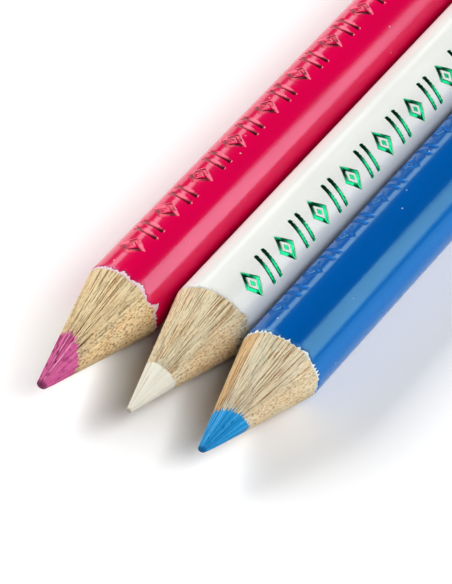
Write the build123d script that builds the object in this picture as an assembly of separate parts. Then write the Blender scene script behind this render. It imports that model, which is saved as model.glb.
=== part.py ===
from build123d import *
from math import cos, radians, sin, tan
import os

# Three dressmaker's chalk pencils that lie side by side on a table, points to -X.
# Each is two grooved half slats glued round a chalk core, an undercoat, a colour
# lacquer, and a row of foil-stamped marks. Millimetres, degrees, +Z up, and the
# origin is on the table, under the middle of the row.

# Sizes that the three pencils share
barrel_diameter = 7.5
pencil_length = 176.0  # from where a sharp point would end to the cut back end
core_diameter = 3.1
lacquer_thickness = 0.12
undercoat_thickness = 0.08
glue_line = 0.04  # between the two slats, and between them and the core
bond = 0.01  # between a coat and what it covers
barrel_gap = 0.1  # between two barrels that lie side by side
overrun = 1.0  # how far a cutter runs past what it cuts

# Points: from the sharp point to where the cone is as wide as the barrel
pink_point_length = 12.85
white_point_length = 12.7
blue_point_length = 12.1
tip_round_share = 0.12  # of the worn length, rounding the edge of the blunt tip

# The length worn off each sharp point
pink_worn_length = 1.4
white_worn_length = 0.7
blue_worn_length = 1.1

# How far each sharp point lies behind the foremost one
pink_set_back = 0.0
white_set_back = 2.8
blue_set_back = 2.5

# How far each core lies off its pencil's axis, and how far the sharpener's cone does
pink_core_shift = 0.3
white_core_shift = 0.12
blue_core_shift = 0.1
pink_cut_shift = 0.03
white_cut_shift = 0.12
blue_cut_shift = 0.14

# Angles about a pencil's own axis, from +Y towards +Z: which way those lie off it,
# where the slats' seam is, and where the marks are
pink_core_angle = 50.0
white_core_angle = 340.0
blue_core_angle = 230.0
pink_cut_angle = 230.0
white_cut_angle = 340.0
blue_cut_angle = 320.0
pink_seam_angle = 94.0
white_seam_angle = 24.0
blue_seam_angle = 60.0
pink_stamp_angle = 73.0
white_stamp_angle = 124.0
blue_stamp_angle = 50.0

# Foil-stamped marks
mark_count = 16
mark_height = 3.0  # across the barrel
mark_width = 1.9  # along the barrel
mark_gap = 0.52
stroke_width = 0.42
centre_share = 0.6  # of the opening in a lozenge ring, filled by the small lozenge
bar_lean = 10.0
shoulder_to_marks = 2.0  # from the sharpened shoulder to the first mark
stamp_depth_share = 0.7  # of the lacquer's thickness
foil_thickness_share = 0.3  # of the stamp's depth
foil_margin = 0.02  # from the edge of the foil to the wall of its recess

# Sizes that follow from those above
barrel_radius = barrel_diameter / 2
undercoat_radius = barrel_radius - lacquer_thickness - bond
wood_radius = undercoat_radius - undercoat_thickness - bond
core_radius = core_diameter / 2
groove_radius = core_radius + glue_line
lane_pitch = barrel_diameter + barrel_gap
stamp_depth = stamp_depth_share * lacquer_thickness
foil_base_radius = barrel_radius - stamp_depth + bond
foil_top_radius = foil_base_radius + foil_thickness_share * stamp_depth
mark_pitch = mark_width + mark_gap
slat_names = ("front_slat", "back_slat")


class Pencil:
    """One pencil: its name, its lane in the row, and the sizes that are its own."""

    def __init__(self, name, lane, lengths, shifts, angles):
        self.name = name
        self.lane = lane
        self.point_length, self.worn_length, self.set_back = lengths
        self.core_shift, self.cut_shift = shifts
        self.core_angle, self.cut_angle, self.seam_angle, self.stamp_angle = angles
        self.half_angle_tan = barrel_radius / self.point_length

    def tip_x(self):
        return self.set_back + self.worn_length

    def end_x(self):
        return self.set_back + pencil_length


pencils = [
    Pencil("pink", 1, (pink_point_length, pink_worn_length, pink_set_back),
           (pink_core_shift, pink_cut_shift),
           (pink_core_angle, pink_cut_angle, pink_seam_angle, pink_stamp_angle)),
    Pencil("white", 0, (white_point_length, white_worn_length, white_set_back),
           (white_core_shift, white_cut_shift),
           (white_core_angle, white_cut_angle, white_seam_angle, white_stamp_angle)),
    Pencil("blue", -1, (blue_point_length, blue_worn_length, blue_set_back),
           (blue_core_shift, blue_cut_shift),
           (blue_core_angle, blue_cut_angle, blue_seam_angle, blue_stamp_angle)),
]
row_middle = (min(p.tip_x() for p in pencils) + max(p.end_x() for p in pencils)) / 2


def off_axis(shift, angle):
    """A place beside a pencil's own axis."""
    return Pos(0, shift * cos(radians(angle)), shift * sin(radians(angle)))


def sharpener_cut(pencil):
    """What the sharpener leaves: a cone with a worn, blunt tip, and behind it all that it doesn't reach."""
    slope = pencil.half_angle_tan
    half_angle = Vector(1, 0, 0).get_angle(Vector(1, slope, 0))
    reach = barrel_radius + pencil.cut_shift + overrun
    rounding = tip_round_share * pencil.worn_length
    centre_x = pencil.worn_length + rounding
    centre_r = centre_x * slope - rounding / cos(radians(half_angle))

    def on_arc(angle):
        return (centre_x + rounding * cos(radians(angle)), centre_r + rounding * sin(radians(angle)))

    tip_side = on_arc(90 + half_angle)
    outline = Polyline((pencil.worn_length, centre_r), (pencil.worn_length, 0), (pencil_length, 0),
                       (pencil_length, reach), (reach / slope, reach), tip_side)
    outline += ThreePointArc(tip_side, on_arc(135 + half_angle / 2), on_arc(180))
    return off_axis(pencil.cut_shift, pencil.cut_angle) * revolve(make_face(outline), Axis.X)


def bar(radius):
    """A round cutter along the whole pencil and past both its ends."""
    length = pencil_length + 2 * overrun
    return Pos(-overrun, 0, 0) * Rot(0, 90, 0) * Cylinder(
        radius, length, align=(Align.CENTER, Align.CENTER, Align.MIN))


def sharpened_bar(pencil, radius):
    return sharpener_cut(pencil) & bar(radius)


def chalk_core(pencil):
    return sharpener_cut(pencil) & (off_axis(pencil.core_shift, pencil.core_angle) * bar(core_radius))


def slats(pencil):
    """The two grooved half slats, the one that faces the front first."""
    core_place = off_axis(pencil.core_shift, pencil.core_angle)
    wood = sharpened_bar(pencil, wood_radius) - core_place * bar(groove_radius)
    seam = Box(pencil_length + 2 * overrun, barrel_diameter + 2 * overrun, glue_line,
               align=(Align.MIN, Align.CENTER, Align.CENTER))
    wood -= core_place * Rot(pencil.seam_angle, 0, 0) * Pos(-overrun, 0, 0) * seam
    facing = radians(pencil.seam_angle + 90)

    def towards_front(solid):
        centre = solid.center()
        return centre.Y * cos(facing) + centre.Z * sin(facing)

    return sorted(wood.solids(), key=towards_front, reverse=True)


def undercoat(pencil):
    return sharpened_bar(pencil, undercoat_radius) - bar(wood_radius + bond)


def lozenge_share(inset):
    """How large a mark's lozenge stays once its four sides are moved in by inset."""
    half_width = mark_width / 2
    half_height = mark_height / 2
    side = (half_width**2 + half_height**2) ** 0.5
    return 1 - inset * side / (half_width * half_height)


def lozenge(share):
    half_width = share * mark_width / 2
    half_height = share * mark_height / 2
    return Polygon((-half_width, 0), (0, -half_height), (half_width, 0), (0, half_height))


def lozenge_mark(margin):
    """A lozenge ring with a small lozenge in its opening."""
    opening_share = lozenge_share(stroke_width)
    ring = lozenge(lozenge_share(margin)) - lozenge(lozenge_share(stroke_width - margin))
    margin_share = 1 - lozenge_share(margin)
    return [ring, lozenge(centre_share * opening_share - margin_share)]


def bars_mark(margin):
    """Two leaning bars that are as far apart as the mark's width lets them be."""
    lean = radians(bar_lean)
    stroke = SlotOverall(mark_height / cos(lean) - 2 * margin, stroke_width - 2 * margin)
    bars_width = mark_width - mark_height * tan(lean)
    offset = (bars_width - stroke_width / cos(lean)) / 2
    return [Pos(side * offset, 0) * Rot(0, 0, 90 - bar_lean) * stroke for side in (-1, 1)]


def mark_prisms(pencil, margin):
    """Prisms that stand out of the axis through every mark, their sides moved in by margin."""
    angle = radians(pencil.stamp_angle)
    outward = (0, cos(angle), sin(angle))
    first_x = pencil.point_length + shoulder_to_marks + mark_width / 2
    prisms = []
    for i in range(mark_count):
        plane = Plane(origin=(first_x + i * mark_pitch, 0, 0), x_dir=(1, 0, 0), z_dir=outward)
        shapes = lozenge_mark(margin) if i % 2 == 0 else bars_mark(margin)
        prisms += [extrude(plane * shape, barrel_radius + overrun) for shape in shapes]
    return prisms


def lacquer(pencil):
    """The colour coat, with a shallow recess under each stamped mark."""
    coat = sharpened_bar(pencil, barrel_radius) - bar(undercoat_radius + bond)
    floor = bar(barrel_radius - stamp_depth)
    recesses = [prism - floor for prism in mark_prisms(pencil, 0)]
    return coat - recesses


def stamped_marks(pencil):
    """The foil of every mark, on the floor of its recess."""
    top = bar(foil_top_radius)
    base = bar(foil_base_radius)
    return Compound([(prism & top) - base for prism in mark_prisms(pencil, foil_margin)])


def pieces(pencil):
    """Every piece of a pencil, by name, in the pencil's own place."""
    made = dict(zip(slat_names, slats(pencil)))
    made["chalk_core"] = chalk_core(pencil)
    made["undercoat"] = undercoat(pencil)
    made["lacquer"] = lacquer(pencil)
    made["stamped_marks"] = stamped_marks(pencil)
    return made


os.makedirs("parts", exist_ok=True)
for pencil in pencils:
    place = Pos(pencil.set_back - row_middle, pencil.lane * lane_pitch, barrel_radius)
    for name, shape in pieces(pencil).items():
        export_step(place * shape, f"parts/{pencil.name}_{name}.step")
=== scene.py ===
import bmesh
import bpy
from math import asin, atan2, ceil, cos, degrees, hypot, pi, radians, sin, sqrt, tan
from mathutils import Matrix, Vector, noise


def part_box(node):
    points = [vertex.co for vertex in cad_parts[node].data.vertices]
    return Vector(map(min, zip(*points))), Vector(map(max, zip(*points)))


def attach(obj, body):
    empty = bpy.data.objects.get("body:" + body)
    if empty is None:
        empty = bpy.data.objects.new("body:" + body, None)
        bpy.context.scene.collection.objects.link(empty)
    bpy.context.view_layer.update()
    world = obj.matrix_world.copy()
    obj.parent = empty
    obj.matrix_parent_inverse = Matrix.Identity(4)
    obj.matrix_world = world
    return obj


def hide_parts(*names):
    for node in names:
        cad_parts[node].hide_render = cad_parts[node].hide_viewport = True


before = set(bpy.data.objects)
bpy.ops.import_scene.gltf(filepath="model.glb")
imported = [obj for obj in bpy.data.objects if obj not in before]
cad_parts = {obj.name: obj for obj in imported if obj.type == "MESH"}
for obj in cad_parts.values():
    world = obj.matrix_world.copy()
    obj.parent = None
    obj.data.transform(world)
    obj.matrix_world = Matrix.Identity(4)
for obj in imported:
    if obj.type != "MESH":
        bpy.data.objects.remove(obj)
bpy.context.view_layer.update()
mm = 0.001


def addObject(name, data):
    made = bpy.data.objects.new(name, data)
    bpy.context.scene.collection.objects.link(made)
    return made


# Camera, from a fit to the outlines of the three pencils in the photo
shot = {
    "turn": -50.64,  # degrees round the table, 0 looks along +Y
    "height": 49.29,  # degrees above the table
    "roll": -4.1,
    "target": (-71.64, 0.9, 3.75),
    "distance": 301.4,
    "lens": 218.9,
    "near": 10,  # nothing nearer than this is drawn
}


def placeCamera(shot):
    turn, height, roll = (radians(shot[key]) for key in ("turn", "height", "roll"))
    back = Vector((sin(turn) * cos(height), -cos(turn) * cos(height), sin(height)))
    right = Vector((0, 0, 1)).cross(back).normalized()
    up = back.cross(right)
    right, up = right * cos(roll) + up * sin(roll), up * cos(roll) - right * sin(roll)
    lens = bpy.data.cameras.new("camera")
    lens.lens = shot["lens"]
    lens.clip_start = shot["near"] * mm
    camera = addObject("camera", lens)
    camera.matrix_world = Matrix((right, up, back)).transposed().to_4x4()
    camera.location = (Vector(shot["target"]) + back * shot["distance"]) * mm
    bpy.context.scene.camera = camera


placeCamera(shot)
print("camera placed")

# Softboxes: which way each stands from the points, its width and height, and its radiance
studio = {
    "aim": (-60, 0, 3.75),  # millimetres, as in the whole script
    "distance": 750,
    "sky": 0.02,
    "boxes": {
        "left box": {"towards": (0.02, 0.83, 0.55), "size": (620, 440), "strength": 6.2},
        "left strip": {"towards": (0.504, 0.755, 0.42), "size": (300, 180), "strength": 3.8},
        "right box": {"towards": (0.44, -0.735, 0.51), "size": (330, 620), "strength": 4.2,
                      "round": True},
        "high box": {"towards": (-0.10, -0.60, 0.79), "size": (420, 360), "strength": 3.5},
        "low box": {"towards": (-0.08, -0.96, 0.27), "size": (330, 300), "strength": 3.0},
        "front box": {"towards": (-0.62, -0.62, 0.47), "size": (400, 400), "strength": 0.6},
    },
    "tableSize": 30000,
    "whiteFrom": 350,  # distances from the middle of the table
    "whiteTo": 850,
    "tableRough": 0.9,
    "tableColor": 0.5,
    "tableSeen": 1.18,  # its brightness to the eye, so that lit paper is white
}


def hangSoftbox(name, box, studio):
    way = Vector(box["towards"]).normalized()
    side = Vector((1, 0, 0))
    side = (side - way * side.dot(way)).normalized()
    lamp = bpy.data.lights.new(name, "AREA")
    lamp.shape = "ELLIPSE" if box.get("round") else "RECTANGLE"
    lamp.size, lamp.size_y = (length * mm for length in box["size"])
    lamp.energy = box["strength"] * lamp.size * lamp.size_y * pi  # watts for that radiance
    holder = addObject(name, lamp)
    holder.matrix_world = Matrix((side, way.cross(side), way)).transposed().to_4x4()
    holder.location = (Vector(studio["aim"]) + way * studio["distance"]) * mm


def fill(tree, node, values):
    # each value is a plain one or comes out of another node
    for key, value in values.items():
        if isinstance(value, bpy.types.NodeSocket):
            tree.links.new(value, node.inputs[key])
        else:
            node.inputs[key].default_value = value


def addNode(tree, kind, values=None, **settings):
    made = tree.nodes.new(kind)
    for key, value in settings.items():
        setattr(made, key, value)
    fill(tree, made, values or {})
    return made


def math(tree, operation, *values):
    return addNode(tree, "ShaderNodeMath", dict(enumerate(values)), operation=operation).outputs[0]


def times(tree, one, two):
    return math(tree, "MULTIPLY", one, two)


def vectorMath(tree, operation, *values):
    made = addNode(tree, "ShaderNodeVectorMath", dict(enumerate(values)), operation=operation)
    return made.outputs["Value" if operation in ("LENGTH", "DOT_PRODUCT") else "Vector"]


def between(tree, value, low, high, bottom=0.0, top=1.0):
    # how far value is from low to high, as a number from bottom to top
    return addNode(tree, "ShaderNodeMapRange", {"Value": value, "From Min": low, "From Max": high,
                                                "To Min": bottom, "To Max": top}).outputs[0]


def newLook(name):
    look = bpy.data.materials.new(name)
    look.use_nodes = True
    return look, look.node_tree, look.node_tree.nodes["Principled BSDF"]


def layTable(studio):
    half = studio["tableSize"] * mm / 2
    mesh = bpy.data.meshes.new("table")
    corners = [(-half, -half, 0), (half, -half, 0), (half, half, 0), (-half, half, 0)]
    mesh.from_pydata(corners, [], [(0, 1, 2, 3)])
    table = addObject("table", mesh)
    look, tree, shader = newLook("table paper")
    ray = addNode(tree, "ShaderNodeLightPath").outputs
    seen = math(tree, "MAXIMUM", ray["Is Camera Ray"], ray["Is Glossy Ray"])
    seen = math(tree, "MAXIMUM", seen, ray["Is Transmission Ray"])
    pale = between(tree, seen, 0.0, 1.0, studio["tableColor"], studio["tableSeen"])
    # far from the pencils, where the lamps don't reach, the paper is seen white as well
    place = addNode(tree, "ShaderNodeTexCoord").outputs["Object"]
    away = vectorMath(tree, "LENGTH", place)
    far = between(tree, away, studio["whiteFrom"] * mm, studio["whiteTo"] * mm)
    fill(tree, shader, {"Base Color": pale, "Roughness": studio["tableRough"], "Specular IOR Level": 0.0,
                        "Emission Strength": times(tree, far, seen)})
    mesh.materials.append(look)


for name, box in studio["boxes"].items():
    hangSoftbox(name, box, studio)
world = bpy.data.worlds.new("studio")
world.use_nodes = True
sky = {"Color": (1, 1, 1, 1), "Strength": studio["sky"]}
fill(world.node_tree, world.node_tree.nodes["Background"], sky)
bpy.context.scene.world = world
bpy.context.scene.view_settings.view_transform = "Standard"
layTable(studio)
print("studio lit")

# What the three pencils share, in millimetres
barrel = {
    "length": 176.0,  # from where a sharp point would end
    "radius": 3.75,
    "undercoatRadius": 3.62,
    "woodRadius": 3.53,
    "bond": 0.01,  # between a coat and what it covers
    "coreRadius": 1.55,
    "endRound": 0.06,  # the broken edge of the cut back end
}

# Each pencil's own point and coats. Angles go from +Y towards +Z.
# nose: the worn tip's rounding, how far it is tilted and which way
# core, cut, lean: how far and which way the core, the sharpener's cone and its tip are off the axis
# a bump: where it stands, how far it reaches to either side, and how much it adds
# a crack: its angle and how far that drifts, where it starts and ends, its width and its depth
pencils = {
    "pink": {
        "pointLength": 12.85, "worn": 1.41, "noseShare": 0.14, "noseTilt": 0.3, "noseFacing": 165,
        "core": (0.30, 50), "cut": (0.03, 230), "lean": (0.05, 0),
        "coreEdge": {"grown": 0.03, "teeth": 0.16, "count": 52,
                     "bumps": [(50, 45, -0.07), (78, 10, 0.03), (106, 7, -0.05), (114, 8, 0.05),
                               (126, 9, -0.03), (166, 14, 0.04)]},
        "seam": 94, "stamp": 73, "seed": 3.0,
        "edge": {"back": 0.31, "underShare": 0.38, "teeth": 0.2, "count": 60,
                 "bumps": [(97, 10, 0.2), (124, 17, 0.3), (145, 9, -0.16), (160, 8, 0.62),
                           (180, 9, -0.06), (222, 20, 0.3), (262, 14, -0.1), (300, 24, 0.25),
                           (345, 16, 0.12)]},
        "grain": {"front": 84, "back": 84},
        "cracks": [(93.5, -1.5, 5.3, 12.4, 0.07, 0.16), (121.5, 1.5, 4.5, 7.4, 0.11, 0.2),
                   (85, -2, 6.2, 9.8, 0.045, 0.06), (78, 1, 9.0, 12.3, 0.045, 0.06),
                   (103, 1, 8.7, 11.6, 0.045, 0.06)],
    },
    "white": {
        "pointLength": 12.7, "worn": 0.71, "noseShare": 0.06, "noseTilt": 0.3, "noseFacing": 100,
        "core": (0.12, 340), "cut": (0.12, 340), "lean": (0.17, 185),
        "coreEdge": {"grown": -0.02, "teeth": 0.035, "count": 64, "bumps": [(100, 30, -0.02)]},
        "seam": 24, "stamp": 124, "seed": 21.0,
        "edge": {"back": 0.25, "underShare": 0.9, "teeth": 0.09, "count": 74,
                 "bumps": [(60, 22, -0.04), (147, 12, 0.26), (159, 6, -0.1), (215, 24, 0.15),
                           (290, 30, 0.2), (335, 15, -0.08)]},
        "grain": {"front": 92, "back": 92},
        "cracks": [(95, -1, 8.2, 12.0, 0.05, 0.07), (78, 1, 5.6, 8.6, 0.05, 0.06),
                   (108, 1, 5.6, 8.8, 0.04, 0.05)],
    },
    "blue": {
        "pointLength": 12.1, "worn": 1.0, "noseShare": 0.15, "noseTilt": 0.5, "noseFacing": 175,
        "core": (0.10, 230), "cut": (0.14, 320), "lean": (0.03, 0),
        "coreEdge": {"grown": -0.05, "teeth": 0.16, "count": 44, "bumps": [(185, 20, 0.03)]},
        "seam": 60, "stamp": 50, "seed": 47.0,
        "edge": {"back": 0.22, "underShare": 0.5, "teeth": 0.32, "count": 50,
                 "bumps": [(28, 30, 0.1), (90, 25, -0.08), (131, 11, 0.3), (143, 8, 0.12),
                           (168, 22, 0.1), (225, 22, 0.2), (280, 30, 0.15), (330, 18, -0.05)]},
        "grain": {"front": 98, "back": 45},
        "cracks": [(60, 0, 4.0, 12.2, 0.045, 0.08), (52, 2, 5.0, 11.8, 0.045, 0.07),
                   (104, -1, 8.8, 11.9, 0.045, 0.06), (84, 1, 6.8, 9.6, 0.04, 0.05)],
    },
}


def towards(angle):
    return Vector((cos(radians(angle)), sin(radians(angle))))


def noiseAt(x, y, z):
    return noise.noise(Vector((x, y, z)))


def wave(angle, at, width):
    # 1 at that angle, down to 0 at either side of it
    off = abs((angle - at + 180) % 360 - 180) / width
    return (1 + cos(pi * off)) / 2 if off < 1 else 0


def teeth(angle, seed, count):
    # uneven saw teeth round a pencil, from 0 in the gaps to 1 at the longest point
    way = towards(angle)
    turn = angle / 360 * count + 0.8 * noiseAt(*way * 4, seed)
    tooth, along = int(turn // 1) % count, turn % 1
    height = 0.55 + 0.45 * noise.cell(Vector((tooth + 0.5, seed, 0.5)))
    return height * (1 - abs(2 * along - 1))


def reach(centre, radius, way):
    # how far from the centre's own axis the circle round it lies, that way
    along = centre.dot(way)
    across = centre.x * way.y - centre.y * way.x
    return along + sqrt(max(radius * radius - across * across, 0))


def setUp(name, pencil):
    low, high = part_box(f"{name}_lacquer")
    middle = [(low[k] + high[k]) / 2 / mm for k in (1, 2)]
    pencil["origin"] = Vector((high.x / mm - barrel["length"], *middle))
    pencil["slope"] = barrel["radius"] / pencil["pointLength"]
    for key in ("core", "cut", "lean"):
        shift, angle = pencil[key]
        pencil[f"{key}At"] = shift * towards(angle)
    pencil["name"] = name


for name, pencil in pencils.items():
    setUp(name, pencil)


def cutX(pencil, point):
    # where the sharpened cone passes a place beside the axis
    return (point - pencil["cutAt"]).length / pencil["slope"]


def leaning(pencil, point):
    # the sharpened part leans a little, by as much as its tip is out of line
    share = max(1 - point[0] / pencil["pointLength"], 0)
    return pencil["origin"] + Vector(point) + Vector((0, *pencil["leanAt"])) * share


def makePiece(name, points, faces, pencil, smoothTo=35):
    mesh = bpy.data.meshes.new(name)
    mesh.from_pydata([leaning(pencil, point) * mm for point in points], [], faces)
    shell = bmesh.new()
    shell.from_mesh(mesh)
    bmesh.ops.recalc_face_normals(shell, faces=shell.faces)
    shell.to_mesh(mesh)
    shell.free()
    mesh.polygons.foreach_set("use_smooth", [True] * len(mesh.polygons))
    mesh.set_sharp_from_angle(angle=radians(smoothTo))
    mesh.update()
    return addObject(name, mesh)


def addValues(piece, name, values):
    piece.data.attributes.new(name, "FLOAT", "POINT").data.foreach_set("value", values)


def grid(columns, rows, closed):
    # faces between columns of points, each of which is closed on itself
    faces = []
    for i in range(columns if closed else columns - 1):
        a, b = i * rows, (i + 1) % columns * rows
        for j in range(rows):
            k = (j + 1) % rows
            faces.append((a + j, a + k, b + k, b + j))
    return faces


# Coats, and where the sharpener cut through them
coats = {
    "step": 0.05,  # of the mesh round the broken edges
    "plainStep": 0.3,  # and where no mark is stamped
    "undercoatTop": 3.74,  # lower than the lacquer's top
    "least": 0.04,  # of the undercoat shows all round
    "rim": 0.04,  # the lacquer's slope where it broke off
    "chipReach": 0.45,  # how far behind its edge the lacquer is chipped
    "joinAt": 1.15,  # behind the point, where the finely divided edge ends
}


def onCone(pencil, x, way, radius):
    # how far out the cone is that way, or a smaller radius
    return min(radius, reach(pencil["cutAt"], pencil["slope"] * x, way))


def coatEdges(pencil, angle):
    # where the lacquer breaks off, and the undercoat in front of it
    edge, seed = pencil["edge"], pencil["seed"]
    way = towards(angle)
    cone = cutX(pencil, way * (barrel["undercoatRadius"] + barrel["bond"]))
    high, count = edge["teeth"], edge["count"]
    back = edge["back"] + sum(much * wave(angle, at, width) for at, width, much in edge["bumps"])
    under = back * edge["underShare"] + 0.5 * high * (teeth(angle, seed + 2, count + 17) - 0.5)
    under += 0.25 * high * (teeth(angle, seed + 4, count * 3) - 0.5)
    back += high * (teeth(angle, seed + 1, count) - 0.35)
    back += 0.35 * high * (teeth(angle, seed + 3, round(count * 2.6)) - 0.5)
    limit = cutX(pencil, way * (barrel["woodRadius"] + barrel["bond"])) + 0.02
    return cone + back, max(min(cone + under, cone + back - coats["least"]), limit)


# Wood. Its fibres lie along the pencil, so the cone shows them as long lines where it cuts the
# growth rings edge on, and as short flecks where it runs along them.
slats = {
    "columns": 290, "rowLength": 0.085,
    "chalkLength": 5,  # about as much of the point as has no wood
    "seamGap": 0.5,  # degrees
    "glue": 0.05, "glueAtFront": 0.012,
    # each set of lines has its share, how fast it changes along and across, and the seed's sign
    "lines": [(0.4, 0.2, 13, 1), (1.0, 0.3, 30, -1), (0.4, 0.7, 48, 1)],
    "lineRidge": (0.12, 0.4, 0.8), "lineGroove": (0.28, 0.42, 1),
    "flecks": (1.6, 13),
    "fleckRidge": (0.15, 0.4, 0.5), "fleckGroove": (0.28, 0.4, 0.9),
    "edgeOn": (0.45, 0.85),
    "depth": 0.025, "highest": 0.015,
    "paintedCrackShade": 22,  # painted shade: how much darker a millimetre of crack depth paints the wood
    "smearReach": 0.9,
}


def within(value, low, high):
    return min(max((value - low) / (high - low), 0), 1)


def furrowed(value, ridge, groove):
    # ridges where value is low and grooves where it is high, each with its start, end and height
    return ridge[2] * within(-value, *ridge[:2]) - groove[2] * within(value, *groove[:2])


def woodRelief(pencil, side, x, spot):
    # from -1 in a groove to 1 on a ridge
    seed = pencil["seed"]
    way = spot.normalized()
    lines = sum(share * noiseAt(x * run + sign * seed, *way * count)
                for share, run, count, sign in slats["lines"])
    run, count = slats["flecks"]
    fleck = noiseAt(x * run, spot.x * count + seed, spot.y * count)
    combed = furrowed(lines, slats["lineRidge"], slats["lineGroove"])
    flecked = furrowed(fleck, slats["fleckRidge"], slats["fleckGroove"])
    edgeOn = within(abs(way.dot(towards(pencil["grain"][side]))), *slats["edgeOn"])
    return combed * (0.3 + 0.7 * edgeOn) + flecked * (0.9 - 0.5 * edgeOn)


def crackDepth(pencil, x, angle, radius):
    deepest = 0
    for at, drift, start, end, width, depth in pencil["cracks"]:
        if start < x < end:
            share = (x - start) / (end - start)
            wander = 0.8 * noiseAt(x * 0.9, at, pencil["seed"])
            off = radians(abs(angle - at - drift * share - wander)) * radius
            width *= 0.45 + 0.55 * (1 - share)
            deepest = max(deepest, depth * (1 - 0.6 * share) * max(1 - off / width, 0) ** 0.7)
    return deepest


def angleOf(spot):
    return degrees(atan2(spot.y, spot.x))


def coreEdge(pencil, angle):
    # radius of the core where the cone cuts through its side
    edge = pencil["coreEdge"]
    angle = angleOf(pencil["coreAt"] + towards(angle) * barrel["coreRadius"])
    bumps = sum(much * wave(angle, at, width) for at, width, much in edge["bumps"])
    rough = noiseAt(*towards(angle) * 3, pencil["seed"])
    jag = edge["teeth"] * (teeth(angle, pencil["seed"], edge["count"]) - 0.4)
    return barrel["coreRadius"] + edge["grown"] + bumps + jag + 0.012 * rough


def makeSlat(pencil, side):
    seam = pencil["seam"] + (0 if side == "front" else 180)
    gap, columns = slats["seamGap"], slats["columns"]
    rows = ceil((pencil["pointLength"] - slats["chalkLength"]) / slats["rowLength"])
    length, endRound = barrel["length"], barrel["endRound"]
    inner = barrel["coreRadius"] + slats["glue"]
    coreAt, cutAt, slope = pencil["coreAt"], pencil["cutAt"], pencil["slope"]
    points, relief, smear = [], [], []
    for i in range(columns):
        angle = seam + gap + (180 - 2 * gap) * i / (columns - 1)
        way = towards(angle)
        groove = coreEdge(pencil, angle) + slats["glueAtFront"]
        outer = reach(-coreAt, barrel["woodRadius"], way)
        front = cutX(pencil, coreAt + way * groove)
        # bare wood runs up the cone as far as the undercoat, and is lower beneath the coats
        shoulder = coatEdges(pencil, angleOf(coreAt + way * outer) % 360)[1] - 0.008
        for j in range(rows + 1):
            share = j / rows
            x = front + (shoulder - front) * share
            spot = coreAt + way * reach(cutAt - coreAt, slope * x, way)
            mark = woodRelief(pencil, side, x, spot)
            crack = crackDepth(pencil, x, angleOf(spot) % 360, spot.length)
            fade = min(share * 10, 1) * min((1 - share) * 12, 1)
            lift = slats["depth"] * mark * (0.25 + 0.75 * fade) - crack * max(fade, 0.5)
            spot += way * min(lift, slats["highest"])
            points.append((x, *spot))
            # the wood's colour follows this relief, with painted shade along the cracks
            relief.append(mark - crack * slats["paintedCrackShade"])
            smear.append(max(1 - (x - front) / slats["smearReach"], 0))
        hidden = [(shoulder + 0.004, outer), (shoulder + 0.4, outer), (shoulder + 1.5, outer),
                  (length - endRound, outer), (length, outer - endRound), (length, (outer + inner) / 2),
                  (length, inner), (front + 1.5, inner), (front + 0.4, (inner + groove) / 2)]
        points += [(x, *(coreAt + way * r)) for x, r in hidden]
        relief += [0] * len(hidden)
        smear += [0] * len(hidden)
    total = len(points) // columns
    faces = grid(columns, total, False)
    faces.append(tuple(range(total)))
    faces.append(tuple(reversed(range((columns - 1) * total, columns * total))))
    piece = makePiece(f"{pencil['name']}_{side}_slat_wood", points, faces, pencil)
    addValues(piece, "relief", relief)
    addValues(piece, "smear", smear)
    return piece


# Chalk core
cores = {
    "columns": 320, "rowLength": 0.06, "noseRows": 12,
    "coneLength": 4.6,  # about as much of the point as is chalk
    "lineRidge": (0.12, 0.4, 0.8), "lineGroove": (0.12, 0.36, 1),
    "pitDepth": 1.4, "gritHeight": 0.3,
    "scoreLightAndShade": 25,  # how much paler a raised millimetre of score is painted, as painted highlight, and how much darker a sunk one, as painted shade
    "tiltReach": 0.9,  # how far behind the blunt end its tilt still shows
}


def coreRelief(pencil, chalk, x, spot):
    # how far the surface is lifted, and from -1 in a groove to 1 on a ridge
    seed = pencil["seed"]
    way = spot.normalized()
    angle = angleOf(way) % 360
    count, along = chalk["lines"], chalk["along"]
    line = noiseAt(x * along + seed, *way * count)
    line += 0.7 * noiseAt(x * along * 1.7 - seed, *way * count * 2.2)
    coarse = chalk["calm"] + (1 - chalk["calm"]) * wave(angle, *chalk["coarseAt"])
    mark = furrowed(line, cores["lineRidge"], cores["lineGroove"])
    pit = noiseAt(x * 1.5, spot.x * 4, spot.y * 4 - seed)
    pit = within(pit, chalk["pitFrom"], chalk["pitFrom"] + 0.15)
    grit = noiseAt(x * 4, spot.x * 9, spot.y * 9 + seed)
    mark = (mark - cores["pitDepth"] * pit) * coarse + cores["gritHeight"] * grit
    lift = chalk["relief"] * mark
    for at, start, end, width, rise in chalk["scores"]:
        if start < x < end:
            off = radians(abs(angle - at + 0.5 * noiseAt(x, at, seed)))
            much = max(1 - off * spot.length / width, 0) * rise
            # raised scores are painted paler and sunk ones darker: painted highlight and painted shade
            mark += much * cores["scoreLightAndShade"]
            lift += much
    return lift, mark


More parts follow.
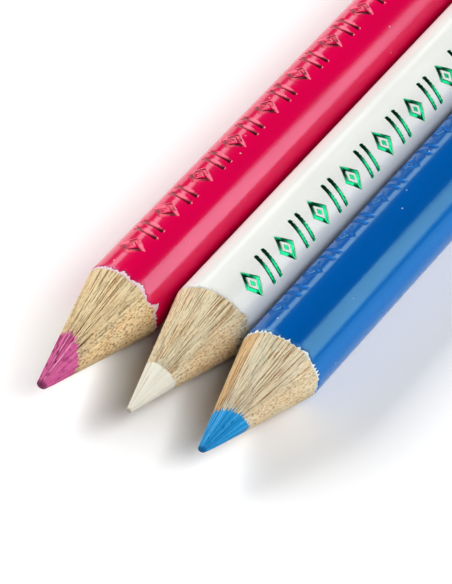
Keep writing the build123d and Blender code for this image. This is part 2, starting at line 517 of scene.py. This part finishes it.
def makeCore(pencil, chalk):
    coreAt, cutAt, slope = pencil["coreAt"], pencil["cutAt"], pencil["slope"]
    columns, noseRows = cores["columns"], cores["noseRows"]
    coneRows = ceil(cores["coneLength"] / cores["rowLength"])
    worn, nose = pencil["worn"], pencil["worn"] * pencil["noseShare"]
    noseEnd = worn + nose
    bluntRadius = slope * noseEnd
    points, relief, blunt = [(worn, *cutAt)], [0], [1]
    rings = []
    for j in range(1, noseRows + 1):
        turn = pi / 2 * j / noseRows
        rings.append(("nose", worn + nose * (1 - cos(turn)), bluntRadius * sin(turn)))
    rings += [("cone", j / coneRows, 0) for j in range(1, coneRows + 1)]
    rings += [("inside", 0.5, 0), ("inside", 3, 0), ("end", 0, barrel["coreRadius"])]
    for kind, a, b in rings:
        for i in range(columns):
            angle = 360 * i / columns
            way = towards(angle)
            edge = coreEdge(pencil, angle)
            front = cutX(pencil, coreAt + way * edge)
            mark = worked = 0
            if kind == "nose":
                x, spot = a, cutAt + way * b
                fade, tilt, worked = 0.4, b / bluntRadius, 1
            elif kind == "cone":
                x = noseEnd + (front - noseEnd) * a
                # rings turn from the cone's own axis to the core's on their way up
                low = cutAt + way * slope * x
                high = coreAt + way * reach(cutAt - coreAt, slope * x, way)
                spot = cutAt + (low.lerp(high, a) - cutAt).normalized() * slope * x
                fade = max(min((1 - a) * 10, 1), 0.15)
                tilt = max(1 - (x - noseEnd) / cores["tiltReach"], 0)
                worked = max(1 - a * 25, 0)
            elif kind == "inside":
                x, spot = front + a, coreAt + way * min(edge, barrel["coreRadius"])
            else:
                x, spot = barrel["length"], coreAt + way * b
            if kind in ("nose", "cone"):
                lift, mark = coreRelief(pencil, chalk, x, spot - cutAt)
                away = (spot - cutAt).normalized()
                spot = spot + away * lift * fade * min(x / 3, 1)
                turned = (1 + away.dot(towards(pencil["noseFacing"]))) / 2
                x += pencil["noseTilt"] * bluntRadius * turned * tilt
            points.append((x, *spot))
            relief.append(mark)
            blunt.append(worked)
    points.append((barrel["length"], *coreAt))
    relief.append(0)
    blunt.append(0)
    faces = [(0, 1 + (i + 1) % columns, 1 + i) for i in range(columns)]
    for j in range(len(rings) - 1):
        a, b = 1 + j * columns, 1 + (j + 1) * columns
        faces += [(a + i, a + (i + 1) % columns, b + (i + 1) % columns, b + i) for i in range(columns)]
    last, tail = len(points) - 1, 1 + (len(rings) - 1) * columns
    faces += [(last, tail + i, tail + (i + 1) % columns) for i in range(columns)]
    piece = makePiece(f"{pencil['name']}_chalk", points, faces, pencil, smoothTo=50)
    addValues(piece, "relief", relief)
    addValues(piece, "blunt", blunt)
    return piece


def makeUndercoat(pencil):
    inner, outer = barrel["woodRadius"] + barrel["bond"], barrel["undercoatRadius"]
    length = barrel["length"]
    columns = ceil(2 * pi * outer / coats["step"])
    top = coats["undercoatTop"]
    points = []
    for i in range(columns):
        angle = 360 * i / columns
        way = towards(angle)
        back, front = coatEdges(pencil, angle)
        # the strip that shows lies on the cone, level with the wood and the lacquer
        profile = [(front, inner), (front, (inner + onCone(pencil, front, way, top)) / 2)]
        xs = (front + 0.01, (front + back) / 2, back - 0.008)
        profile += [(x, onCone(pencil, x, way, top)) for x in xs]
        profile += [(back - 0.004, outer), (back + 0.4, outer), (back + 1.2, outer), (length, outer),
                    (length, inner), (back + 1.2, inner), (back + 0.4, inner)]
        points += [(x, *(way * r)) for x, r in profile]
    faces = grid(columns, len(profile), True)
    return makePiece(f"{pencil['name']}_undercoat_film", points, faces, pencil, smoothTo=60)


# Stamped marks: a lozenge ring with a small lozenge in it, by turns with two leaning bars
marks = {
    "count": 16, "height": 3.0, "width": 1.9, "gap": 0.52, "stroke": 0.42, "lean": 10,
    "centreShare": 0.6, "fromShoulder": 2.0,
    "depth": 0.085, "wall": 0.07, "lip": 0.012,
    "foilDrop": 0.02,  # from the lacquer's top to the foil's edge
    "ringThickness": 0.015, "ringMargin": 0.015,
    "barThickness": 0.012, "barMargin": 0.012, "barSteps": 26,
    "step": 0.062,  # of the lacquer's mesh under the marks
    "halfBand": 27,  # degrees to either side of their middle that are divided so
    "beyond": 1.15,  # millimetres before and behind them that are divided so
}


def markPlaces(pencil):
    # each mark's middle, and 0 for lozenges or 1 for bars
    first = pencil["pointLength"] + marks["fromShoulder"] + marks["width"] / 2
    return [(first + i * (marks["width"] + marks["gap"]), i % 2) for i in range(marks["count"])]


def halves(share=1):
    return marks["width"] / 2 * share, marks["height"] / 2 * share


def lozengeShare(inset):
    # what is left of a mark's lozenge with its sides moved in
    w, h = halves()
    return 1 - inset * hypot(w, h) / (w * h)


def lozengeDistance(a, b, share):
    w, h = halves(share)
    return (abs(a) / w + abs(b) / h - 1) * w * h / hypot(w, h)


def barSpots():
    # the bars' lean, half their length, and how far each is from the mark's middle
    lean = radians(marks["lean"])
    spread = marks["width"] - marks["height"] * tan(lean)
    offset = (spread - marks["stroke"] / cos(lean)) / 2
    return lean, marks["height"] / cos(lean) / 2, (-offset, offset)


def markDistance(kind, a, b):
    # how far a place is outside a mark's strokes, less than 0 inside them
    stroke = marks["stroke"]
    if kind == 0:
        outside = lozengeDistance(a, b, 1)
        small = lozengeDistance(a, b, marks["centreShare"] * lozengeShare(stroke))
        return min(max(outside, -outside - stroke), small)
    lean, half, offsets = barSpots()
    distances = []
    for offset in offsets:
        along = (a - offset) * sin(lean) + b * cos(lean)
        across = (a - offset) * cos(lean) - b * sin(lean)
        distances.append(hypot(across, max(abs(along) - half + stroke / 2, 0)) - stroke / 2)
    return min(distances)


def recess(pencil, places, x, angle):
    turn = radians(pencil["stamp"] - angle)
    b = barrel["radius"] * sin(turn)
    if cos(turn) < 0 or abs(b) > marks["height"] / 2 + 0.3:
        return 0  # nowhere near a mark
    index = min(max(round((x - places[0][0]) / (marks["width"] + marks["gap"])), 0), len(places) - 1)
    d = markDistance(places[index][1], x - places[index][0], b)
    wall = marks["wall"]
    lipWidth = 3 * wall
    if d > lipWidth:
        return 0
    if d > 0:
        return marks["lip"] * (1 - d / lipWidth) ** 2 * min(d / wall * 2, 1)  # pushed-up lip
    share = min(-d / wall, 1)
    return -marks["depth"] * share * share * (3 - 2 * share)


def markColumns(pencil):
    # angles of the barrel's columns, close together under the marks
    half = marks["halfBand"]
    spans = [(-half, 2 * half, marks["step"]), (half, 360 - 2 * half, coats["plainStep"])]
    angles = []
    for start, wide, step in spans:
        count = ceil(radians(wide) * barrel["radius"] / step)
        angles += [pencil["stamp"] + start + wide * i / count for i in range(count)]
    return angles


def joined(one, two):
    # the faces between two rings that are divided alike
    n = len(one)
    return [(one[i], two[i], two[(i + 1) % n], one[(i + 1) % n]) for i in range(n)]


def zipped(ringA, anglesA, ringB, anglesB):
    # triangles between two rings that are divided differently
    faces = []
    i = j = 0
    n, m = len(ringA), len(ringB)
    while i < n or j < m:
        nextA = anglesA[i] + (anglesA[(i + 1) % n] - anglesA[i]) % 360 if i < n else 1e9
        nextB = anglesB[j] + (anglesB[(j + 1) % m] - anglesB[j]) % 360 if j < m else 1e9
        if nextA <= nextB:
            faces.append((ringA[i], ringB[j % m], ringA[(i + 1) % n]))
            i += 1
        else:
            faces.append((ringA[i % n], ringB[j], ringB[(j + 1) % m]))
            j += 1
    return faces


def makeLacquer(pencil):
    radius, length, endRound = barrel["radius"], barrel["length"], barrel["endRound"]
    inner = barrel["undercoatRadius"] + barrel["bond"]
    rim = coats["rim"]
    points, broken = [], []

    def ring(spots):
        first = len(points)
        points.extend((x, *(way * r)) for x, way, r in spots)
        return range(first, len(points))

    # the broken edge, ring by ring from the bore outwards and on to where the barrel's mesh starts
    columns = ceil(2 * pi * radius / coats["step"])
    edgeAngles = [pencil["stamp"] - marks["halfBand"] + 360 * i / columns for i in range(columns)]
    edges = [(towards(angle), coatEdges(pencil, angle)[0]) for angle in edgeAngles]
    join = pencil["pointLength"] + coats["joinAt"]
    steps = [("bore", 0.6), ("face", 0), ("face", 0.5), ("face", 1)]
    steps += [("top", share) for share in (0.04, 0.1, 0.18, 0.28, 0.4, 0.55, 0.75, 1)]
    edgeRings = []
    for kind, t in steps:
        spots = []
        for way, front in edges:
            if kind == "bore":
                x, r = front + t, inner
            elif kind == "face":
                x = front + rim * t
                r = inner + (onCone(pencil, x, way, radius) - inner) * min(t * 1.2, 0.94)
            else:
                x = front + rim + (join - front - rim) * t
                r = onCone(pencil, x, way, radius)
            spots.append((x, way, r))
            broken.append(max(1 - max(x - front, 0) / coats["chipReach"], 0))
        edgeRings.append(ring(spots))

    # the barrel, finely divided under the marks
    angles = markColumns(pencil)
    places = markPlaces(pencil)
    firstX, lastX = places[0][0] - marks["beyond"], places[-1][0] + marks["beyond"]
    rows = ceil((lastX - firstX) / marks["step"])
    barrelRings = []
    for i in range(rows + 1):
        x = firstX + (lastX - firstX) * i / rows
        spots = []
        for angle in angles:
            r = radius + (recess(pencil, places, x, angle) if 0 < i < rows else 0)
            highest = radius / max(sin(radians(angle)), 0.5)  # no lip above the barrel's top
            spots.append((x, towards(angle), min(r, highest)))
        barrelRings.append(ring(spots))
    profile = [(lastX + (length - lastX) * share, radius) for share in (0.1, 0.4, 0.7, 0.95)]
    profile += [(length - endRound, radius), (length - endRound * 0.3, radius - endRound * 0.3),
                (length, radius - endRound), (length, inner)]
    barrelRings += [ring([(x, towards(angle), r) for angle in angles]) for x, r in profile]

    faces = zipped(edgeRings[-1], edgeAngles, barrelRings[0], angles)
    for rings in (edgeRings, barrelRings):
        for one, two in zip(rings, rings[1:]):
            faces += joined(one, two)
    faces += [face[::-1] for face in zipped(edgeRings[0], edgeAngles, barrelRings[-1], angles)]
    piece = makePiece(f"{pencil['name']}_lacquer_coat", points, faces, pencil, smoothTo=50)
    addValues(piece, "brokenEdge", broken + [0] * (len(points) - len(broken)))
    return piece


def lozengeLoop(inset, size, steps=7):
    w, h = halves(size - 1 + lozengeShare(inset))
    corners = [(-w, 0), (0, -h), (w, 0), (0, h)]
    loop = []
    for (a0, b0), (a1, b1) in zip(corners, corners[1:] + corners[:1]):
        loop += [(a0 + (a1 - a0) * i / steps, b0 + (b1 - b0) * i / steps) for i in range(steps)]
    return loop


def makeFoil(pencil):
    points, faces = [], []
    stroke, wall, edge = marks["stroke"], marks["wall"], marks["foilDrop"]
    floor = marks["depth"] - marks["ringThickness"]

    def put(x, a, b, drop):
        spot = Vector((x + a, b, pencil["seed"]))
        wrinkle = 0.004 * noise.noise(spot * 2.5) + 0.003 * noise.noise(spot * 7)
        turn = radians(pencil["stamp"]) - asin(b / barrel["radius"])
        r = barrel["radius"] - drop - wrinkle
        points.append((x + a, cos(turn) * r, sin(turn) * r))
        return len(points) - 1

    def skin(x, loops, closed=False):
        made = [[put(x, a, b, drop) for a, b in loop] for loop, drop in loops]
        following = made[1:] + made[:1] if closed else made[1:]
        for one, two in zip(made, following):
            n = len(one)
            faces.extend((one[i], one[(i + 1) % n], two[(i + 1) % n], two[i]) for i in range(n))
        return made

    def addLozenges(x):
        thick, margin = marks["ringThickness"], marks["ringMargin"]
        top = [(lozengeLoop(margin, 1), edge), (lozengeLoop(wall, 1), floor),
               (lozengeLoop(stroke - wall, 1), floor), (lozengeLoop(stroke - margin, 1), edge)]
        skin(x, top + [(loop, drop + thick) for loop, drop in reversed(top)], closed=True)
        small = marks["centreShare"] * lozengeShare(stroke)
        outline = lozengeLoop(marks["barMargin"], small)
        made = skin(x, [(outline, edge + thick * 2), (outline, edge),
                        (lozengeLoop(wall * 0.9, small), floor)])
        faces.extend([tuple(made[-1]), tuple(reversed(made[0]))])

    def addBar(x, lean, half, offset):
        thick, margin, steps = marks["barThickness"], marks["barMargin"], marks["barSteps"]
        halfStroke = stroke / 2
        rows = []
        for j in range(steps + 1):
            t = sin((j / steps - 0.5) * pi) * (half - margin)
            beyond = max(abs(t) - (half - halfStroke), 0)
            w = max(sqrt(max(halfStroke ** 2 - beyond ** 2, 0)) - margin, 0.02)
            flat = w - min(wall, w * 0.6)
            deep = floor - (floor - edge) * (beyond / halfStroke) ** 3
            section = [(-w, edge), (-flat, deep), (0, deep), (flat, deep), (w, edge),
                       (flat, deep + thick), (0, deep + thick), (-flat, deep + thick)]
            row = [(offset + t * sin(lean) + v * cos(lean), t * cos(lean) - v * sin(lean), drop)
                   for v, drop in section]
            rows.append([put(x, *spot) for spot in row])
        for one, two in zip(rows, rows[1:]):
            faces.extend(joined(one, two))
        faces.extend([tuple(rows[0]), tuple(reversed(rows[-1]))])

    for x, kind in markPlaces(pencil):
        if kind == 0:
            addLozenges(x)
        else:
            lean, half, offsets = barSpots()
            for offset in offsets:
                addBar(x, lean, half, offset)
    return makePiece(f"{pencil['name']}_foil", points, faces, pencil, smoothTo=40)


# Finishes
def pencilLook(pencil, what):
    # a material with its nodes, its shader, and places in millimetres from the pencil's origin
    look, tree, shader = newLook(f"{pencil['name']} {what}")
    place = addNode(tree, "ShaderNodeTexCoord").outputs["Object"]
    local = vectorMath(tree, "SUBTRACT", place, pencil["origin"] * mm)
    return look, tree, shader, vectorMath(tree, "MULTIPLY", local, (1 / mm, 1 / mm, 1 / mm))


def noisy(tree, vector, detail, roughness=0.5):
    values = {"Vector": vector, "Scale": 1.0, "Detail": detail, "Roughness": roughness}
    return addNode(tree, "ShaderNodeTexNoise", values).outputs["Fac"]


def stretched(tree, vector, scale, detail, roughness=0.5):
    return noisy(tree, vectorMath(tree, "MULTIPLY", vector, scale), detail, roughness)


def ramp(tree, value, *stops):
    made = addNode(tree, "ShaderNodeValToRGB", {"Fac": value})
    elements = made.color_ramp.elements
    while len(elements) < len(stops):
        elements.new(0.5)
    for element, (at, color) in zip(elements, stops):
        element.position = at
        element.color = color if isinstance(color, tuple) else (color, color, color, 1)
    return made.outputs["Color"]


def mixColor(tree, factor, one, two):
    values = {"Factor": factor, 6: one, 7: two}  # its colour sockets have numbers
    return addNode(tree, "ShaderNodeMix", values, data_type="RGBA").outputs[2]


def dotted(tree, vector, scale, full, end):
    # round spots, 1 as far as full from their middles and 0 beyond end
    cells = addNode(tree, "ShaderNodeTexVoronoi", {"Vector": vector, "Scale": scale})
    return ramp(tree, cells.outputs["Distance"], (full, 1.0), (end, 0.0))


def covered(tree, color, mask, share, top):
    # color with top over it, as much as mask times share
    return mixColor(tree, times(tree, mask, share), color, top)


def shaded(tree, color, value, *shades):
    # each shade has its colour, where its share of it starts and is full, and that share
    for top, start, full, share in shades:
        color = mixColor(tree, between(tree, value, start, full, 0.0, share), color, top)
    return color


def bumps(tree, height, distance, strength):
    values = {"Height": height, "Distance": distance * mm, "Strength": strength}
    return addNode(tree, "ShaderNodeBump", values).outputs[0]


def srgb(code):
    def linear(v):
        return v / 12.92 if v <= 0.04045 else ((v + 0.055) / 1.055) ** 2.4
    return (*(linear(int(code[i:i + 2], 16) / 255) for i in (0, 2, 4)), 1)


def carried(tree, name):
    # a number that the mesh carries at its points
    return addNode(tree, "ShaderNodeAttribute", attribute_name=name).outputs["Fac"]


def outward(tree, spot):
    # the direction from the pencil's axis
    return vectorMath(tree, "NORMALIZE", vectorMath(tree, "MULTIPLY", spot, (0, 1, 1)))


def fanned(tree, spot, lines, along):
    # places by their direction from the axis, so that a pattern fans out with the cone
    run = vectorMath(tree, "MULTIPLY", spot, (along, 0, 0))
    return vectorMath(tree, "MULTIPLY_ADD", outward(tree, spot), (0, lines, lines), run)


def facing(tree, spot, angle, wide, narrow):
    # 1 where the surface's direction from the axis is within narrow degrees of angle, 0 beyond wide
    likeness = vectorMath(tree, "DOT_PRODUCT", outward(tree, spot), (0, *towards(angle)))
    return between(tree, likeness, cos(radians(wide)), cos(radians(narrow)))


def alongX(tree, spot, start, end):
    # 0 before start, 1 behind end
    return between(tree, addNode(tree, "ShaderNodeSeparateXYZ", {0: spot}).outputs["X"], start, end)


woods = {
    "pink": {"pale": "ffeabc", "mid": "fdd69e", "dark": "a06e3a", "deep": "4a2e14", "smear": "d0307c",
             "flecks": 0.8, "lineCount": 40},
    "white": {"pale": "fff1cc", "mid": "ffdfae", "dark": "ae8248", "deep": "54391a", "smear": "efe9dc",
              "flecks": 0.75, "lineCount": 50},
    "blue": {"pale": "fff0ce", "mid": "ffe2b4", "dark": "b48450", "deep": "5e3e1c", "smear": "d8eef4",
             "flecks": 0.6, "lineCount": 50},
}
farSlat = {"blue": {"pale": "f4d09c", "mid": "e4b27a", "dark": "9c6836"}}  # a browner piece of wood
stains = {"blue": {"angle": 86, "from": 5.5, "to": 9.0, "color": "bcd6bf"}}
woodFinish = {
    "rough": 0.75, "specular": 0.15,
    "pales": 0.8, "lines": 0.9,  # how strong each pattern is
    "rings": 0.55, "pores": 0.6,  # on the cut end
    "smear": 0.55, "stain": 0.75,
}


def woodLook(pencil, side, wood):
    look, tree, shader, plain = pencilLook(pencil, f"{side} wood")
    grain = pencil["grain"][side]
    # turned so that Y lies along the growth rings
    turned = addNode(tree, "ShaderNodeMapping", {"Vector": plain, "Rotation": (radians(-grain), 0, 0)})
    spot = vectorMath(tree, "ADD", turned.outputs[0], (pencil["seed"], 0, 0))
    colors = {key: srgb(code) for key, code in wood.items() if isinstance(code, str)}

    def masked(value, low, high):
        return ramp(tree, value, (low, 0.0), (high, 1.0))

    bothSides = (facing(tree, plain, angle, 65, 32) for angle in (grain, grain + 180))
    edgeOnRings = math(tree, "MAXIMUM", *bothSides)
    cutEnd = alongX(tree, plain, barrel["length"] - 0.02, barrel["length"] - 0.01)
    flank = math(tree, "SUBTRACT", 1.0, cutEnd)
    combed = times(tree, math(tree, "MULTIPLY_ADD", edgeOnRings, 0.6, 0.35), flank)
    flecked = times(tree, math(tree, "MULTIPLY_ADD", edgeOnRings, -0.6, 1.0), flank)

    broad = masked(stretched(tree, spot, (0.08, 0.5, 1.2), 2.0), 0.35, 0.65)
    color = mixColor(tree, broad, colors["pale"], colors["mid"])
    if pencil["name"] in stains:
        stain = stains[pencil["name"]]
        much = times(tree, facing(tree, plain, stain["angle"], 17, 5),
                     alongX(tree, plain, stain["from"], stain["to"]))
        much = times(tree, much, masked(stretched(tree, spot, (0.3, 2.0, 2.0), 2.0), 0.3, 0.65))
        color = covered(tree, color, times(tree, much, flank), woodFinish["stain"], srgb(stain["color"]))
    pales = masked(noisy(tree, fanned(tree, plain, wood["lineCount"] + 8, 0.5), 1.0), 0.48, 0.58)
    pales = times(tree, pales, combed)
    lines = masked(noisy(tree, fanned(tree, plain, wood["lineCount"], 0.5), 1.0), 0.595, 0.655)
    lines = times(tree, lines, combed)
    flecks = dotted(tree, vectorMath(tree, "MULTIPLY", spot, (1.8, 7.5, 7.5)), 1.0, 0.285, 0.38)
    flecks = times(tree, flecks, flecked)
    rings = times(tree, masked(stretched(tree, spot, (0, 0.5, 3.4), 2.0), 0.48, 0.58), cutEnd)
    pores = times(tree, masked(stretched(tree, spot, (0, 13.0, 13.0), 1.0), 0.58, 0.66), cutEnd)
    dusty = masked(stretched(tree, spot, (1.5, 6, 6), 2.0), 0.52, 0.64)
    dusty = times(tree, carried(tree, "smear"), dusty)
    strength = woodFinish | wood
    layers = [("pales", pales, "pale"), ("lines", lines, "dark"), ("flecks", flecks, "dark"),
              ("rings", rings, "dark"), ("pores", pores, "deep")]
    for key, mask, shade in layers:
        color = covered(tree, color, mask, strength[key], colors[shade])
    # ridges are painted paler and grooves darker, partly the grain's own colour and partly painted
    # highlight on ridges and painted shade in grooves; cracks get the darkest painted shade
    color = shaded(tree, color, carried(tree, "relief"), (colors["pale"], 0.05, 0.8, 0.9),
                   (colors["dark"], -0.25, -1.0, 0.85), (colors["deep"], -1.2, -3.0, 0.9))
    color = covered(tree, color, dusty, woodFinish["smear"], colors["smear"])
    height = math(tree, "ADD", times(tree, lines, -0.8), times(tree, pales, 0.6))
    height = math(tree, "ADD", height, times(tree, math(tree, "ADD", flecks, pores), -0.8))
    fill(tree, shader, {"Base Color": color, "Roughness": woodFinish["rough"],
                        "Specular IOR Level": woodFinish["specular"],
                        "Normal": bumps(tree, height, 0.05, 1.0)})
    return look


# lines and along: how many drawn lines there are and how fast they change
# coarseAt, calm: where they are coarsest and how wide that is, and their share elsewhere
# a score: its angle, where it starts and ends, its width, and how far it is raised
chalks = {
    "pink": {"color": "de5a9c", "pale": "fba8d0", "dark": "7c1444", "tip": "8e3c64", "rough": 0.5,
             "lines": 9, "along": 0.12, "relief": 0.034, "pitFrom": 0.26, "coarseAt": (62, 70),
             "calm": 0.35, "scores": [(100, 1.7, 6.2, 0.06, 0.035), (104, 1.9, 4.4, 0.035, -0.025),
                                      (74, 2.6, 6.2, 0.05, -0.05), (78, 3.6, 6.1, 0.05, 0.035),
                                      (118, 2.4, 5.6, 0.05, -0.025)]},
    "white": {"color": "f4f0df", "pale": "fbf8ea", "dark": "cdc6b4", "tip": "d8ccba", "rough": 0.7,
              "lines": 5, "along": 0.15, "relief": 0.004, "pitFrom": 0.9, "coarseAt": (100, 120),
              "calm": 0.5, "scores": [(108, 1.6, 4.9, 0.05, -0.012), (121, 2.6, 5.0, 0.04, -0.006)]},
    "blue": {"color": "0092da", "pale": "58c0f4", "dark": "0a62a4", "tip": "0b69aa", "rough": 0.45,
             "lines": 11, "along": 0.1, "relief": 0.022, "pitFrom": 0.5, "coarseAt": (100, 150),
             "calm": 0.6, "scores": [(96, 1.4, 4.8, 0.05, -0.04), (122, 1.6, 4.9, 0.05, -0.03),
                                     (84, 1.4, 4.6, 0.05, 0.03)]},
}


def chalkLook(pencil, chalk):
    look, tree, shader, spot = pencilLook(pencil, "chalk")
    color, pale, dark, tip = (srgb(chalk[key]) for key in ("color", "pale", "dark", "tip"))
    grit = stretched(tree, spot, (5, 10, 10), 3.0, 0.65)
    drawn = noisy(tree, fanned(tree, spot, chalk["lines"] * 3, 0.3), 2.0)
    # lines on the point alone, none on the cut back end
    onPoint = math(tree, "SUBTRACT", 1.0, alongX(tree, spot, 6.5, 7.0))
    drawn = math(tree, "MULTIPLY_ADD", math(tree, "SUBTRACT", drawn, 0.5), onPoint, 0.5)
    mixed = mixColor(tree, 0.6, ramp(tree, drawn, (0.3, dark), (0.48, color), (0.72, pale)), color)
    mixed = mixColor(tree, ramp(tree, grit, (0.55, 0.0), (0.75, 0.3)), mixed, pale)
    # ridges are painted paler and grooves and pits darker, partly the chalk's own streaks and partly
    # painted highlight on ridges and painted shade in grooves and pits
    mixed = shaded(tree, mixed, carried(tree, "relief"),
                   (pale, 0.1, 1.0, 0.85), (dark, -0.15, -1.1, 0.85))
    mixed = covered(tree, mixed, carried(tree, "blunt"), 0.8, tip)
    height = math(tree, "MULTIPLY_ADD", drawn, 1.2, grit)
    fill(tree, shader, {"Base Color": mixed, "Roughness": chalk["rough"], "Specular IOR Level": 0.12,
                        "Normal": bumps(tree, height, 0.02, 0.8)})
    return look


lacquers = {
    "pink": {"color": "e4004c", "tint": (0.85, 0.75, 1.0, 1), "specular": 0.5, "rough": 0.17,
             "undercoat": "fad4e4", "chip": "7a2a6c"},
    "white": {"color": "f1f3ee", "tint": (1.0, 1.0, 1.0, 1), "specular": 0.25, "rough": 0.22,
              "undercoat": "f1f3ee", "chip": "d8d2c2"},
    "blue": {"color": "0059ab", "tint": (0.4, 1.0, 1.0, 1), "specular": 0.42, "rough": 0.17,
             "undercoat": "f0fafa", "chip": "2a6a9c",
             # painted light: a lighter blue on the flank facing -Y, where the right-hand lamps light it
             "paintedLitFlank": {"color": "0072ca", "angle": 178, "from": 46, "full": 16}},
}


def lacquerLook(pencil, lacquer):
    look, tree, shader, spot = pencilLook(pencil, "lacquer")
    cloud = stretched(tree, spot, (0.12, 0.5, 0.5), 3.0)
    peel = stretched(tree, spot, (0.9, 1.3, 1.3), 2.0)
    drawn = stretched(tree, spot, (0.03, 2.2, 2.2), 2.0)
    base = srgb(lacquer["color"])
    deeper = (*(v * 0.93 for v in base[:3]), 1)
    color = mixColor(tree, ramp(tree, cloud, (0.35, 0.0), (0.7, 1.0)), base, deeper)
    if "paintedLitFlank" in lacquer:  # painted light: the flank facing -Y, towards the lamps on the right, is painted a lighter blue
        paintedLitFlank = lacquer["paintedLitFlank"]
        flank = facing(tree, spot, paintedLitFlank["angle"], paintedLitFlank["from"], paintedLitFlank["full"])
        color = mixColor(tree, flank, color, srgb(paintedLitFlank["color"]))
    speck = dotted(tree, spot, 0.55, 0.03, 0.05)
    color = covered(tree, color, speck, 0.6, (0.9, 0.9, 0.9, 1))
    flaked = ramp(tree, stretched(tree, spot, (5, 9, 9), 2.0), (0.52, 0.0), (0.6, 1.0))
    chips = times(tree, carried(tree, "brokenEdge"), flaked)
    color = covered(tree, color, chips, 0.8, srgb(lacquer["chip"]))
    rough = between(tree, cloud, 0.3, 0.7, lacquer["rough"] * 0.85, lacquer["rough"] * 1.2)
    height = math(tree, "ADD", times(tree, peel, 0.5), times(tree, drawn, 0.8))
    height = math(tree, "ADD", height, times(tree, math(tree, "SUBTRACT", speck, chips), 1.5))
    fill(tree, shader, {"Base Color": color, "Roughness": rough, "Specular Tint": lacquer["tint"],
                        "Specular IOR Level": lacquer["specular"],
                        "Normal": bumps(tree, height, 0.012, 0.6)})
    return look


def undercoatLook(pencil, lacquer):
    look, tree, shader, spot = pencilLook(pencil, "undercoat")
    grit = stretched(tree, spot, (4, 8, 8), 4.0)
    pale, body = srgb(lacquer["undercoat"]), srgb(lacquer["color"])
    stained = tuple(0.88 * p + 0.12 * b for p, b in zip(pale, body))
    color = ramp(tree, grit, (0.35, stained), (0.5, pale), (0.7, (0.93, 0.93, 0.93, 1)))
    fill(tree, shader, {"Base Color": color, "Roughness": 0.7, "Normal": bumps(tree, grit, 0.02, 0.7)})
    return look


foils = {
    "pink": {"slot": "pink_foil", "color": "a23a4a", "dark": "4a0a1a", "rough": 0.3},
    "white": {"slot": "green_foil", "color": "0c8a58", "dark": "03402a", "rough": 0.24},
    "blue": {"slot": "blue_foil", "color": "0f5ca4", "dark": "0a4684", "rough": 0.6},
}


def foilLook(pencil, foil):
    look, tree, shader, spot = pencilLook(pencil, "foil")
    crackle = stretched(tree, spot, (5, 5, 5), 4.0, 0.7)
    color = ramp(tree, crackle, (0.3, srgb(foil["dark"])), (0.45, srgb(foil["color"])))
    fill(tree, shader, {"Base Color": color, "Metallic": 1.0, "Roughness": foil["rough"],
                        "Normal": bumps(tree, crackle, 0.015, 0.5)})
    return look


def dress(piece, look, pencil, slot, *nodes):
    piece.data.materials.append(look)
    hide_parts(*nodes)
    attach(piece, f"{pencil['name']}_pencil")


for name, pencil in pencils.items():
    chalk, coat, foil = chalks[name], lacquers[name], foils[name]
    for side, extra in (("front", {}), ("back", farSlat.get(name, {}))):
        look = woodLook(pencil, side, woods[name] | extra)
        dress(makeSlat(pencil, side), look, pencil, "casing_wood", f"{name}_{side}_slat")
    look = chalkLook(pencil, chalk)
    dress(makeCore(pencil, chalk), look, pencil, f"{name}_chalk", f"{name}_chalk_core")
    dress(makeUndercoat(pencil), undercoatLook(pencil, coat), pencil, "undercoat", f"{name}_undercoat")
    dress(makeLacquer(pencil), lacquerLook(pencil, coat), pencil, f"{name}_lacquer", f"{name}_lacquer")
    dress(makeFoil(pencil), foilLook(pencil, foil), pencil, foil["slot"], f"{name}_stamped_marks")
    print(name, "pencil made")
